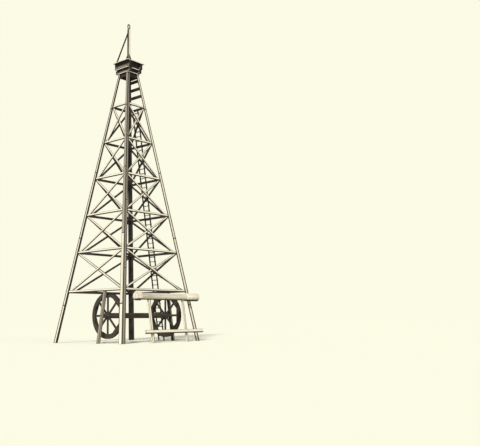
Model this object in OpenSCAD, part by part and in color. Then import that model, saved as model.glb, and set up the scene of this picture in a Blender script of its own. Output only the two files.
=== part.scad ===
/* [Tower] */
// Width of the base over the corner legs at the ground
base_w = 6300; // [5900:10:6700]
// Width over the corner legs at their top
top_w = 900; // [850:10:940]
// Height of the corner legs
leg_h = 17000; // [16400:50:17800]
// Width of each side of a corner leg at the ground, measured level
leg_w = 270; // [245:1:300]
// Width of each side of a corner leg at its top, measured level
leg_top_w = 165; // [140:1:185]
// Thickness of the planks in legs, girts and braces
plank_t = 50; // [42:1:56]
// Gap left between one timber and the timber it is nailed to
seat = 0.4; // [0.3:0.1:0.6]

/* [Girts and braces] */
// Number of girts on each side
girt_count = 6; // [5:1:6]
// Height of the lowest girt, at its middle
first_girt_z = 3110; // [3080:10:3250]
// Height of the second girt, at its middle
second_girt_z = 5530; // [5350:10:5750]
// Height from the highest girt, at its middle, to the tops of the legs
top_bay = 2150; // [1900:10:2500]
// Depth of a girt
girt_h = 150; // [120:1:180]
// Width of a brace
brace_w = 127; // [100:1:150]
// Distance from the leg at which the outer braces of the left and right sides land on the girts
brace_in = 220; // [120:10:320]
// Distance from the leg at which the lowest outer brace of the front and back lands on its girt
front_brace_in = 440; // [380:10:480]
// How much nearer to the leg each outer brace above it lands
front_brace_step = 100; // [80:5:105]
// Room between the end of a brace and the timbers of the next side
brace_room = 5; // [3:1:10]

/* [Ladder and top boards] */
// Width over the ladder's rails
ladder_w = 520; // [440:10:560]
// Room between the ladder and the back leg at the ladder's top
ladder_room = 100; // [40:10:160]
// Thickness of a ladder rail
rail_t = 38; // [30:1:50]
// Depth of a ladder rail
rail_d = 89; // [70:1:100]
// Height of the ladder's top above the highest girt
ladder_over = 100; // [80:10:200]
// Rise from one rung to the next
rung_step = 300; // [280:10:400]
// Depth of a rung slat
rung_h = 64; // [50:1:80]
// Thickness of a rung slat
rung_t = 25; // [19:1:32]
// Number of wide boards between the highest girt and the headers
step_count = 3; // [2:1:3]
// Depth of each of these boards
step_h = 190; // [150:10:220]
// Distance from the headers down to the middle of the highest of these boards
step_drop = 140; // [110:5:200]
// Distance from one of these boards down to the next
step_rise = 490; // [420:10:500]

/* [Crown] */
// Depth of the header boards between the leg tops
header_h = 240; // [200:10:300]
// Thickness of the crown's three decks
deck_t = 50; // [38:1:60]
// Half width of the lowest deck
low_deck = 505; // [485:5:530]
// Half width of the middle deck
mid_deck = 585; // [560:5:600]
// Half width of the top deck
top_deck = 710; // [680:5:760]
// Height of the timbers between the lowest and the middle deck
low_course_h = 215; // [180:5:250]
// Height of the timbers between the middle and the top deck
top_course_h = 380; // [330:5:420]
// Width of the crown timbers
crown_timber_w = 150; // [120:5:180]
// Distance from a deck's edge to the face of the timbers under it
deck_lip = 35; // [25:5:60]
// Length by which the long crown timbers pass the edge of the middle deck
beam_out = 115; // [90:5:120]
// Number of planks in each deck
deck_planks = 6; // [4:1:8]

/* [Gin pole] */
// Width of the square gin pole
pole_w = 140; // [120:5:160]
// Length of the gin pole
pole_h = 2300; // [2220:10:2500]
// Width of the gin pole's brace
pole_brace_w = 80; // [60:5:100]
// Height on the pole at which the brace lands
pole_brace_z = 2200; // [1900:10:2210]
// Distance of the brace's foot from the pole, along each side of the deck
pole_brace_foot = 545; // [480:5:600]
// Height of the cleats at the foot of the gin pole
cleat_h = 620; // [500:10:700]
// Distance that the cleats reach from the gin pole
cleat_reach = 280; // [220:10:320]
// Height of the oblong ring on the gin pole
ring_h = 350; // [320:5:390]
// Width of the ring
ring_w = 210; // [190:5:230]
// Thickness of the ring's iron
ring_t = 56; // [44:1:64]

/* [Bull wheels] */
// Height of the shaft's axis
shaft_z = 1600; // [1570:10:1620]
// Distance of the shaft from the tower's middle, towards the front
shaft_y = 960; // [900:10:1020]
// Radius of the shaft
shaft_r = 160; // [130:5:180]
// Radius of the shaft outside the wheels
shaft_end_r = 135; // [120:5:140]
// Radius of the hub that carries the arms
hub_r = 230; // [210:5:250]
// Distance of each wheel from the tower's middle
wheel_x = 2330; // [2200:10:2350]
// Outer radius of a wheel
wheel_r = 1350; // [1250:10:1370]
// Depth of a wheel's rim
rim_d = 210; // [170:5:250]
// Number of arms in a wheel
arm_count = 8; // [6:1:8]
// Width of an arm
arm_w = 130; // [100:5:140]
// Radius of the iron gudgeons on which the shaft turns
gudgeon_r = 40; // [30:1:50]
// Running clearance round the gudgeons
gudgeon_gap = 0.5; // [0.4:0.1:0.8]
// Width of the bull wheel posts
bull_post_w = 180; // [150:5:210]
// Depth of the bull wheel posts
bull_post_d = 150; // [130:5:170]
// Room between the end of the shaft and the posts
shaft_room = 15; // [12:1:25]

/* [Log frame] */
// Radius of the log between its thick ends
log_r = 200; // [180:5:220]
// Radius of the log's right end
log_head_r = 240; // [230:5:260]
// Radius of the log's left end
log_butt_r = 250; // [235:5:265]
// Height of the log's axis
log_z = 2690; // [2620:10:2750]
// Distance of the log's left end from the tower's middle
log_left = 1980; // [1850:10:2050]
// Distance of the log's right end from the tower's middle
log_right = 3110; // [3000:10:3300]
// Length of the thick right end
log_head_l = 1040; // [950:10:1150]
// Length of the thick left end
log_butt_l = 350; // [280:10:420]
// Distance of the left log post from the tower's middle, towards the left
post_left = 980; // [900:10:1060]
// Distance of the right log post from the tower's middle, towards the right
post_right = 1800; // [1740:10:1860]
// Width of the left log post
post_left_w = 165; // [140:5:200]
// Width of the right log post
post_right_w = 120; // [100:5:150]
// Depth of both log posts
post_d = 120; // [100:5:150]
// Height of the foot rail's underside
foot_rail_z = 480; // [420:10:540]
// Depth of the foot rail
foot_rail_h = 210; // [180:10:260]
// Thickness of the foot rail
foot_rail_t = 100; // [80:5:120]
// Distance of the foot rail's left end from the tower's middle
foot_rail_left = 1600; // [1450:10:1750]
// Distance of the foot rail's right end from the tower's middle
foot_rail_right = 3150; // [3050:10:3300]

/* [Hidden] */

$fn = 64;
FRONT = 0;
RIGHT = 1;
BACK = 2;
LEFT = 3;

// Slope of every side, and the same distances measured up that slope
lean = atan((base_w - top_w) / 2 / leg_h);
function up(z) = z / cos(lean);
function half(v) = base_w / 2 - v * sin(lean);

// Heights of the girts' middles: from the second up they are evenly spaced
last_girt = girt_count - 1;
girt_step = (leg_h - top_bay - second_girt_z) / (last_girt - 1);
function girt_z(i) = i == 0 ? first_girt_z : second_girt_z + (i - 1) * girt_step;

// The foot of the near leg is the part's origin, on the middle of its front plank
foot_x = leg_w / 2;
foot_y = plank_t / 2;
centre = [base_w / 2 - foot_x, base_w / 2 - foot_y, 0];
far = 2 * leg_h;

module in_tower() {
    translate(centre) children();
}

// A side of the tower: X runs level, Y up the slope and Z outwards from the leg planks' faces
module on_side(k) {
    rotate([0, 0, 90 * k])
        translate([0, -base_w / 2, 0])
            rotate([90 - lean, 0, 0])
                children();
}

// A board drawn on a side, in layer 0 with the leg planks or in layers 1 and 2 behind them
module board(layer, t = plank_t) {
    translate([0, 0, -layer * (plank_t + seat) - t])
        linear_extrude(t)
            children();
}

// How far a board stops from the corner to clear the next side's layers 0 to n
function inset(n) = ((n + 1) * plank_t + n * seat) / cos(lean) + seat;

// The part of a side between two heights and two insets from its corners
module panel(v0, v1, left, right) {
    polygon([
        [-half(v0) + left, v0], [half(v0) - right, v0],
        [half(v1) - right, v1], [-half(v1) + left, v1]
    ]);
}

module between(z0, z1) {
    intersection() {
        children();
        translate([-far, -far, z0]) cube([2 * far, 2 * far, z1 - z0]);
    }
}

// Legs: each side narrows from the ground to the top
function leg_width(v) = leg_w + (leg_top_w - leg_w) * v / up(leg_h);
function leg_edge(v) = half(v) - leg_width(v);

module leg_plank(k, outer, on_right) {
    v0 = -leg_w;
    v1 = up(leg_h) + leg_w;
    on_side(k)
        mirror([on_right ? 0 : 1, 0, 0])
            board(0)
                polygon([
                    [leg_edge(v0), v0], [half(v0) - outer, v0],
                    [half(v1) - outer, v1], [leg_edge(v1), v1]
                ]);
}

module leg(k) {
    color("wheat")
        in_tower()
            between(0, leg_h) {
                leg_plank(k, 0, true);
                leg_plank((k + 1) % 4, inset(0), false);
            }
}

module leg_front_left() { leg(LEFT); }
module leg_front_right() { leg(FRONT); }
module leg_back_right() { leg(RIGHT); }
module leg_back_left() { leg(BACK); }

// Girts
module girt(v, h) {
    board(1) panel(v - h / 2, v + h / 2, inset(1), inset(0));
}

module girts(k) {
    color("burlywood")
        in_tower()
            on_side(k)
                for (i = [0 : last_girt])
                    girt(up(girt_z(i)), girt_h);
}

module girts_front() { girts(FRONT); }
module girts_right() { girts(RIGHT); }
module girts_back() { girts(BACK); }
module girts_left() { girts(LEFT); }

// Braces
module strip(a, b) {
    run = b - a;
    past = norm(run) / 2;
    translate(a)
        rotate(atan2(run.y, run.x))
            translate([-past, -brace_w / 2])
                square([norm(run) + 2 * past, brace_w]);
}

// One brace of a cross: its axis runs between the corners of the bay, and its ends are cut
// to the girts and lapped behind the legs
module brace(layer, v0, v1, v_low, v_high, foot_in) {
    lap = inset(2) + brace_room;
    board(layer)
        intersection() {
            strip([leg_edge(v_low) - foot_in, v_low], [-leg_edge(v_high), v_high]);
            panel(v0, v1, lap, lap);
        }
}

module brace_cross(k, i) {
    foot_in = k % 2 == 1 ? brace_in : front_brace_in - i * front_brace_step;
    low = up(girt_z(i));
    high = up(girt_z(i + 1));
    v_low = low + girt_h / 2;
    v_high = high - girt_h / 2;
    brace(1, v_low + seat, v_high - seat, v_low, v_high, foot_in);
    mirror([1, 0, 0])
        brace(2, low + seat / 2, high - seat / 2, v_low, v_high, 0);
}

module braces(k) {
    color("tan")
        in_tower()
            on_side(k)
                mirror([k % 2, 0, 0])
                    for (i = [0 : last_girt - 1])
                        brace_cross(k, i);
}

module braces_front() { braces(FRONT); }
module braces_right() { braces(RIGHT); }
module braces_back() { braces(BACK); }
module braces_left() { braces(LEFT); }

// Ladder
ladder_top = girt_z(last_girt) + ladder_over;
ladder_off = leg_edge(up(ladder_top)) - ladder_room - ladder_w / 2;
rung_count = floor((ladder_top - rung_h) / rung_step);

module ladder_rails() {
    color("saddlebrown")
        in_tower()
            between(0, ladder_top)
                on_side(RIGHT)
                    for (side = [-1, 1])
                        translate([
                            ladder_off + side * (ladder_w - rail_t) / 2 - rail_t / 2,
                            -rail_d, -plank_t
                        ])
                            cube([rail_t, up(ladder_top) + 2 * rail_d, rail_d]);
}

module ladder_rungs() {
    color("wheat")
        in_tower()
            on_side(RIGHT)
                for (i = [1 : rung_count])
                    translate([
                        ladder_off - ladder_w / 2, up(i * rung_step) - rung_h / 2,
                        rail_d - plank_t + seat
                    ])
                        cube([ladder_w, rung_h, rung_t]);
}

// Boards below the headers
module top_step_boards() {
    highest = leg_h - header_h - step_drop;
    color("saddlebrown")
        in_tower()
            on_side(RIGHT)
                for (i = [0 : step_count - 1])
                    girt(up(highest - i * step_rise), step_h);
}

// Crown
low_deck_z = leg_h + seat;
low_course_z = low_deck_z + deck_t + seat;
mid_deck_z = low_course_z + low_course_h + seat;
top_course_z = mid_deck_z + deck_t + seat;
top_deck_z = top_course_z + top_course_h + seat;
pole_z = top_deck_z + deck_t + seat;

module crown_headers() {
    color("saddlebrown")
        in_tower()
            between(leg_h - header_h, leg_h)
                for (k = [FRONT : LEFT])
                    on_side(k)
                        board(1)
                            panel(up(leg_h - header_h) - plank_t, up(leg_h) + plank_t, inset(1), inset(0));
}

module deck(z, half_w) {
    pitch = 2 * half_w / deck_planks;
    color("wheat")
        in_tower()
            for (i = [0 : deck_planks - 1])
                translate([-half_w, -half_w + i * pitch, z])
                    cube([2 * half_w, pitch - seat, deck_t]);
}

module low_deck_planks() { deck(low_deck_z, low_deck); }
module middle_deck_planks() { deck(mid_deck_z, mid_deck); }
module top_deck_planks() { deck(top_deck_z, top_deck); }

// Two long timbers from front to back with two short ones between them
module crown_course(z, h, half_w, half_l) {
    short_l = 2 * (half_w - crown_timber_w - seat);
    color("saddlebrown")
        in_tower()
            for (side = [-1, 1]) {
                translate([side * (half_w - crown_timber_w / 2) - crown_timber_w / 2, -half_l, z])
                    cube([crown_timber_w, 2 * half_l, h]);
                translate([-short_l / 2, side * (half_w - crown_timber_w / 2) - crown_timber_w / 2, z])
                    cube([short_l, crown_timber_w, h]);
            }
}

module low_crown_timbers() {
    crown_course(low_course_z, low_course_h, low_deck - deck_lip, mid_deck + beam_out);
}

module top_crown_timbers() {
    crown_course(top_course_z, top_course_h, mid_deck - deck_lip, mid_deck + beam_out);
}

// Gin pole
module pole_body(grow = 0) {
    w = pole_w + 2 * grow;
    translate([-w / 2, -w / 2, pole_z]) cube([w, w, pole_h]);
}

module gin_pole() {
    color("wheat") in_tower() pole_body();
}

module gin_pole_brace() {
    run = pole_brace_foot * sqrt(2);
    tilt = atan(run / pole_brace_z);
    length = norm([run, pole_brace_z]);
    color("saddlebrown")
        in_tower()
            difference() {
                between(pole_z, pole_z + pole_h)
                    translate([-pole_brace_foot, pole_brace_foot, pole_z])
                        rotate([0, 0, -45])
                            rotate([0, tilt, 0])
                                translate([-pole_brace_w / 2, -pole_brace_w / 2, -pole_brace_w])
                                    cube([pole_brace_w, pole_brace_w, length + pole_brace_w]);
                pole_body(seat);
            }
}

module gin_pole_cleats() {
    color("saddlebrown")
        in_tower()
            for (turn = [0, 90, 180, 270])
                rotate([0, 0, turn])
                    translate([pole_w / 2 + seat, plank_t / 2, pole_z])
                        rotate([90, 0, 0])
                            linear_extrude(plank_t)
                                polygon([[0, 0], [cleat_reach, 0], [0, cleat_h]]);
}

// An oblong eye of square iron
module eye(w, h) {
    circle(d = w);
    translate([0, h - w]) circle(d = w);
    translate([-w / 2, 0]) square([w, h - w]);
}

module gin_pole_ring() {
    color("dimgray")
        in_tower()
            translate([0, ring_t / 2, pole_z + pole_h + seat + ring_w / 2])
                rotate([90, 0, 0])
                    linear_extrude(ring_t)
                        difference() {
                            eye(ring_w, ring_h);
                            eye(ring_w - 2 * ring_t, ring_h - 2 * ring_t);
                        }
}

// Bull wheels
function face_x(z) = base_w / 2 - z * tan(lean);
post_outer = face_x(shaft_z) - (plank_t + seat) / cos(lean);
post_inner = face_x(shaft_z + shaft_end_r) - (plank_t + seat + bull_post_d) / cos(lean);
shaft_half = post_inner - shaft_room;
wheel_t = 3 * plank_t + 2 * seat;

module at_shaft() {
    translate([0, -shaft_y, shaft_z])
        rotate([0, 90, 0])
            children();
}

module bull_wheel_posts() {
    v_top = up(first_girt_z) - girt_h / 2 - seat;
    color("burlywood")
        in_tower()
            difference() {
                between(0, first_girt_z)
                    for (k = [RIGHT, LEFT])
                        on_side(k)
                            translate([
                                (k == LEFT ? 1 : -1) * shaft_y - bull_post_w / 2, -bull_post_d,
                                -plank_t - seat - bull_post_d
                            ])
                                cube([bull_post_w, v_top + bull_post_d, bull_post_d]);
                at_shaft() cylinder(r = gudgeon_r + gudgeon_gap, h = base_w, center = true);
            }
}

module bull_wheel_shaft() {
    color("saddlebrown")
        in_tower()
            at_shaft() {
                cylinder(r = shaft_r, h = 2 * wheel_x, center = true);
                cylinder(r = shaft_end_r, h = 2 * shaft_half, center = true);
                for (side = [-1, 1])
                    translate([0, 0, side * wheel_x])
                        cylinder(r = hub_r, h = wheel_t, center = true);
            }
}

module bull_wheel_gudgeons() {
    color("dimgray")
        in_tower()
            for (side = [-1, 1])
                at_shaft()
                    mirror([0, 0, side < 0 ? 1 : 0])
                        translate([0, 0, shaft_half + seat])
                            cylinder(r = gudgeon_r, h = post_outer - shaft_half - seat);
}

// Arms lie between the two layers of the rim
module wheel_arms(side) {
    color("burlywood")
        in_tower()
            at_shaft()
                translate([0, 0, side * wheel_x])
                    for (i = [0 : arm_count - 1])
                        rotate([0, 0, i * 360 / arm_count])
                            translate([hub_r + seat, -arm_w / 2, -plank_t / 2])
                                cube([wheel_r - rim_d / 4 - hub_r, arm_w, plank_t]);
}

// One cant of the rim: round outside and straight inside
module cant() {
    step = 360 / arm_count;
    chord = (wheel_r - rim_d) * cos(step / 2);
    linear_extrude(plank_t)
        intersection() {
            circle(r = wheel_r);
            translate([chord, -wheel_r]) square([wheel_r, 2 * wheel_r]);
            rotate(step / 2) translate([0, -wheel_r - seat / 2]) square([2 * wheel_r, wheel_r]);
            rotate(-step / 2) translate([0, seat / 2]) square([2 * wheel_r, wheel_r]);
        }
}

module wheel_rim(side) {
    color("wheat")
        in_tower()
            at_shaft()
                translate([0, 0, side * wheel_x])
                    for (i = [0 : arm_count - 1])
                        for (layer = [0, 1])
                            rotate([0, 0, (i + layer / 2) * 360 / arm_count])
                                translate([0, 0, layer * (2 * plank_t + 2 * seat) - 1.5 * plank_t - seat])
                                    cant();
}

module left_wheel_arms() { wheel_arms(-1); }
module left_wheel_rim() { wheel_rim(-1); }
module right_wheel_arms() { wheel_arms(1); }
module right_wheel_rim() { wheel_rim(1); }

// Log frame outside the front side
log_w = log_head_r + seat;
log_y = -face_x(log_z) - log_w / cos(lean);

module log_stretch(x0, x1, r) {
    translate([x0, log_y, log_z])
        rotate([0, 90, 0])
            cylinder(r = r, h = x1 - x0);
}

module log_body(grow = 0) {
    log_stretch(log_butt_l - log_left, log_right - log_head_l, log_r + grow);
    log_stretch(-log_left, log_butt_l - log_left, log_butt_r + grow);
    log_stretch(log_right - log_head_l, log_right, log_head_r + grow);
}

module front_log() {
    color("wheat") in_tower() log_body();
}

module log_post(x, w) {
    color("wheat")
        in_tower()
            difference() {
                between(0, log_z)
                    on_side(FRONT)
                        translate([x - w / 2, -post_d, log_w - post_d / 2])
                            cube([w, up(log_z) + 2 * post_d, post_d]);
                log_body(seat);
            }
}

module log_post_left() { log_post(-post_left, post_left_w); }
module log_post_right() { log_post(post_right, post_right_w); }

module foot_rail() {
    color("wheat")
        in_tower()
            on_side(FRONT)
                translate([-foot_rail_left, up(foot_rail_z), log_w + post_d / 2 + seat])
                    cube([foot_rail_left + foot_rail_right, foot_rail_h, foot_rail_t]);
}

leg_front_left();
leg_front_right();
leg_back_right();
leg_back_left();
girts_front();
girts_right();
girts_back();
girts_left();
braces_front();
braces_right();
braces_back();
braces_left();
ladder_rails();
ladder_rungs();
top_step_boards();
crown_headers();
low_deck_planks();
low_crown_timbers();
middle_deck_planks();
top_crown_timbers();
top_deck_planks();
gin_pole();
gin_pole_brace();
gin_pole_cleats();
gin_pole_ring();
bull_wheel_posts();
bull_wheel_shaft();
bull_wheel_gudgeons();
left_wheel_arms();
left_wheel_rim();
right_wheel_arms();
right_wheel_rim();
front_log();
log_post_left();
log_post_right();
foot_rail();
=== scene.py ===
"""Dresses a timber drilling derrick with sawn planks, nails, bull wheels and a log frame."""

import logging  # noqa: E402
import math  # noqa: E402
import random  # noqa: E402
from dataclasses import dataclass, field, replace  # noqa: E402
from enum import Enum  # noqa: E402
from functools import reduce  # noqa: E402
from typing import Callable, Iterable, Sequence  # noqa: E402

import bmesh  # noqa: E402
import bpy  # noqa: E402
from mathutils import Matrix, Quaternion, Vector, geometry  # noqa: E402


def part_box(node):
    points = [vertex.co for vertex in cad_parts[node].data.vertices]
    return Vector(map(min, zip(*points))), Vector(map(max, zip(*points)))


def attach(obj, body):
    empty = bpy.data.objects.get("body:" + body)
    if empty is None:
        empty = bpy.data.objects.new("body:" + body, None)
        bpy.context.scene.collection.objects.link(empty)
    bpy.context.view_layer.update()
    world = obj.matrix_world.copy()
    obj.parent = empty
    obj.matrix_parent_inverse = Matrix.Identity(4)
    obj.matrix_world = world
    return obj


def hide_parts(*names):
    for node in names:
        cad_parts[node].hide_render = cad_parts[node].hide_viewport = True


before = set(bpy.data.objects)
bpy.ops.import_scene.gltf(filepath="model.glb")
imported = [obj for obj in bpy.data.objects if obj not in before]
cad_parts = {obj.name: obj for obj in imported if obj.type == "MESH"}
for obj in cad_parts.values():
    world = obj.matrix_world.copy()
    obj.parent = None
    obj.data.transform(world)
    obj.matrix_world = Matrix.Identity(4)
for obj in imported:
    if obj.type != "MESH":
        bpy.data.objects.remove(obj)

log = logging.getLogger("derrick")

Colour = tuple[float, float, float]
Darkness = Callable[[Vector, Vector], float]

# Directions in the frame
UP = Vector((0.0, 0.0, 1.0))
TO_RIGHT = Vector((1.0, 0.0, 0.0))
TO_FRONT = Vector((0.0, -1.0, 0.0))

# How much of a face's normal points a way when the face looks that way, loosely and closely
LOOSELY = 0.5
CLOSELY = 0.7

# A share of painted shade below nought, which leaves a timber without a painted shade strip
NO_SHADE_STRIP = -0.5


class Side(Enum):
    """The four sides of the tower, numbered as they turn about its axis."""

    FRONT = 0
    RIGHT = 1
    BACK = 2
    LEFT = 3

    @property
    def word(self) -> str:
        """The side's name as node names spell it."""
        return self.name.lower()


class Body(Enum):
    """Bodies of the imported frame."""

    DERRICK = "derrick"
    BULL_WHEEL = "bull_wheel"


class Slot(Enum):
    """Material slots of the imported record."""

    PINE = "pine"
    SHADOW_PINE = "shadow_pine"
    WHEEL = "bull_wheel_wood"
    LOG = "log_wood"
    IRON = "iron"


class Head(Enum):
    """Heads of nails and bolts: radius and height in metres."""

    NAIL = (0.012, 0.005)
    RUNG_NAIL = (0.008, 0.004)
    SPIKE = (0.016, 0.005)
    WASHER = (0.042, 0.005)
    BOLT = (0.03, 0.02)
    HUB_BOLT = (0.024, 0.016)


class Streaks(Enum):
    """Noise drawn out along the grain: repeats a metre along and across it, detail, roughness."""

    FIBRE = (0.9, 42.0, 4.0, 0.6)
    STREAK = (0.35, 11.0, 3.0, 0.55)
    CLOUD = (1.1, 2.5, 3.0, 0.55)
    RING_BEND = (0.7, 5.0, 2.0, 0.55)
    CRACK = (0.8, 26.0, 2.0, 0.55)
    CRACKED_PATCH = (0.9, 3.0, 2.0, 0.55)


class Band(Enum):
    """The values between which each mark on timber comes up from nothing to its full strength."""

    FIBRE = (0.58, 0.8)
    STREAK = (0.45, 0.75)
    CLOUD = (0.52, 0.85)
    KNOT = (0.085, 0.035)
    CRACK = (0.012, 0.004)
    CRACKED_PATCH = (0.54, 0.64)


class Socket:
    """A shader value, combined with Python operators, each of which adds a Math node."""

    def __init__(self, sheet: "NodeSheet", output: bpy.types.NodeSocket) -> None:
        """Wraps one output socket of a sheet's node tree."""
        self.sheet = sheet
        self.output = output

    def _math(self, operation: str, *values: "Socket | float") -> "Socket":
        """Adds one Math node.

        Args:
            operation: the Math node's operation.
            values: its operands, in order.

        Returns:
            The node's value.
        """
        inputs = dict(enumerate(values))
        return self.sheet.make("ShaderNodeMath", {"operation": operation}, inputs)[0]

    def __add__(self, other: "Socket | float") -> "Socket":
        """This value plus another."""
        return self._math("ADD", self, other)

    __radd__ = __add__

    def __sub__(self, other: "Socket | float") -> "Socket":
        """This value less another."""
        return self._math("SUBTRACT", self, other)

    def __rsub__(self, other: "Socket | float") -> "Socket":
        """Another value less this one."""
        return self._math("SUBTRACT", other, self)

    def __mul__(self, other: "Socket | float") -> "Socket":
        """This value times another."""
        return self._math("MULTIPLY", self, other)

    __rmul__ = __mul__

    def __truediv__(self, other: "Socket | float") -> "Socket":
        """This value over another."""
        return self._math("DIVIDE", self, other)

    def __pow__(self, power: "Socket | float") -> "Socket":
        """This value raised to a power."""
        return self._math("POWER", self, power)

    def __abs__(self) -> "Socket":
        """The size of this value."""
        return self._math("ABSOLUTE", self)

    def sine(self) -> "Socket":
        """The sine of this value."""
        return self._math("SINE", self)

    def least(self, other: "Socket | float") -> "Socket":
        """The lesser of two values."""
        return self._math("MINIMUM", self, other)

    def most(self, other: "Socket | float") -> "Socket":
        """The greater of two values."""
        return self._math("MAXIMUM", self, other)

    def step(self, none: float, full: float) -> "Socket":
        """Eases from 0 to 1 as this value goes from one bound to the other, whichever is lower.

        Args:
            none: the value at which the result is 0.
            full: the value at which the result is 1.

        Returns:
            The eased value.
        """
        settings = {"interpolation_type": "SMOOTHSTEP", "clamp": True}
        inputs = {"Value": self, "From Min": none, "From Max": full}
        return self.sheet.make("ShaderNodeMapRange", settings, inputs)[0]

    def within(self, band: Band) -> "Socket":
        """How strong a mark is whose noise has this value."""
        return self.step(*band.value)


def opaque(colour: Socket | Colour) -> Socket | tuple[float, ...]:
    """A link as it is, or a colour with its alpha."""
    return colour if isinstance(colour, Socket) else (*colour, 1.0)


class NodeSheet:
    """The node tree of a material or the world, filled by one method."""

    def __init__(self, owner: bpy.types.Material | bpy.types.World) -> None:
        """Empties the owner's tree.

        Args:
            owner: the material or world that the tree shades.
        """
        owner.use_nodes = True
        self.tree = owner.node_tree
        self.tree.nodes.clear()

    def make(
        self, kind: str, settings: dict | None = None, inputs: dict | None = None
    ) -> list[Socket]:
        """Adds a node.

        Args:
            kind: the node's type.
            settings: its properties, set before its sockets.
            inputs: values or links, by socket name or number.

        Returns:
            The node's enabled outputs.
        """
        node = self.tree.nodes.new(kind)
        for key, value in (settings or {}).items():
            setattr(node, key, value)
        for key, value in (inputs or {}).items():
            socket = node.inputs[key]
            if isinstance(value, Socket):
                self.tree.links.new(value.output, socket)
            else:
                socket.default_value = value
        return [Socket(self, out) for out in node.outputs if out.enabled]

    def outputs(self, kind: str) -> dict[str, Socket]:
        """Adds a node without inputs and gives its outputs by name."""
        return {socket.output.name: socket for socket in self.make(kind)}

    def attribute(self, name: str) -> list[Socket]:
        """The colour, vector, value and alpha of a mesh attribute."""
        settings = {"attribute_name": name, "attribute_type": "GEOMETRY"}
        return self.make("ShaderNodeAttribute", settings)

    def parts(self, name: str) -> list[Socket]:
        """The three parts of a vector attribute."""
        return self.make("ShaderNodeSeparateXYZ", inputs={"Vector": self.attribute(name)[1]})

    def value(self, name: str) -> Socket:
        """The value of an attribute."""
        return self.attribute(name)[2]

    def join(self, x: Socket | float, y: Socket | float, z: Socket | float) -> Socket:
        """A vector of three parts."""
        return self.make("ShaderNodeCombineXYZ", inputs={"X": x, "Y": y, "Z": z})[0]

    def noise(self, vector: Socket, scale: float, detail: float, rough: float = 0.55) -> Socket:
        """Noise from 0 to 1 at a vector."""
        inputs = {"Vector": vector, "Scale": scale, "Detail": detail, "Roughness": rough}
        return self.make("ShaderNodeTexNoise", inputs=inputs)[0]

    def mix(self, factor: Socket | float, a: Socket | Colour, b: Socket | Colour) -> Socket:
        """Mixes two colours.

        Args:
            factor: how much of b shows.
            a: the colour at 0.
            b: the colour at 1.

        Returns:
            The mixed colour.
        """
        settings = {"data_type": "RGBA", "blend_type": "MIX", "clamp_factor": True}
        inputs = {0: factor, 6: opaque(a), 7: opaque(b)}
        return self.make("ShaderNodeMix", settings, inputs)[0]

    def bump(self, height: Socket, strength: float, distance: float) -> Socket:
        """The normal of a rough surface, from its height."""
        inputs = {"Strength": strength, "Distance": distance, "Height": height}
        return self.make("ShaderNodeBump", inputs=inputs)[0]

    def surface(
        self,
        colour: Socket | Colour,
        rough: Socket | float,
        shine: float,
        bump: Socket | None = None,
    ) -> None:
        """Ends the tree in one plain surface.

        Args:
            colour: its colour.
            rough: its roughness.
            shine: its specular level.
            bump: its normal, where it has bumps.
        """
        inputs = {"Base Color": opaque(colour), "Roughness": rough, "Specular IOR Level": shine}
        if bump is not None:
            inputs["Normal"] = bump
        shader = self.make("ShaderNodeBsdfPrincipled", inputs=inputs)[0]
        self.make("ShaderNodeOutputMaterial", inputs={"Surface": shader})


@dataclass(frozen=True)
class Grain:
    """A shaded point's place in its own timber in metres, as the piece's attributes give it."""

    sheet: NodeSheet
    along: Socket
    across: Socket
    through: Socket
    half: list[Socket]
    tone: Socket
    run: Socket

    @classmethod
    def read(cls, sheet: NodeSheet, tone_shift: float = 40.0) -> "Grain":
        """Reads the attributes of a timber piece.

        Args:
            sheet: the material's nodes.
            tone_shift: how far the tone moves the pattern along the grain, so that no two
                timbers match.

        Returns:
            The place, whose run is the moved place along the grain.
        """
        along, across, through = sheet.parts("grain")
        half, tone = sheet.parts("half"), sheet.value("tone")
        return cls(sheet, along, across, through, half, tone, along + tone * tone_shift)

    def at(self, along: float, across: float, through: float) -> Socket:
        """The moved place, stretched by three factors."""
        return self.sheet.join(self.run * along, self.across * across, self.through * through)

    def streaks(self, kind: Streaks) -> Socket:
        """Noise from 0 to 1, drawn out along the grain."""
        along, across, detail, rough = kind.value
        return self.sheet.noise(self.at(along, across, across), 1.0, detail, rough)


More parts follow.
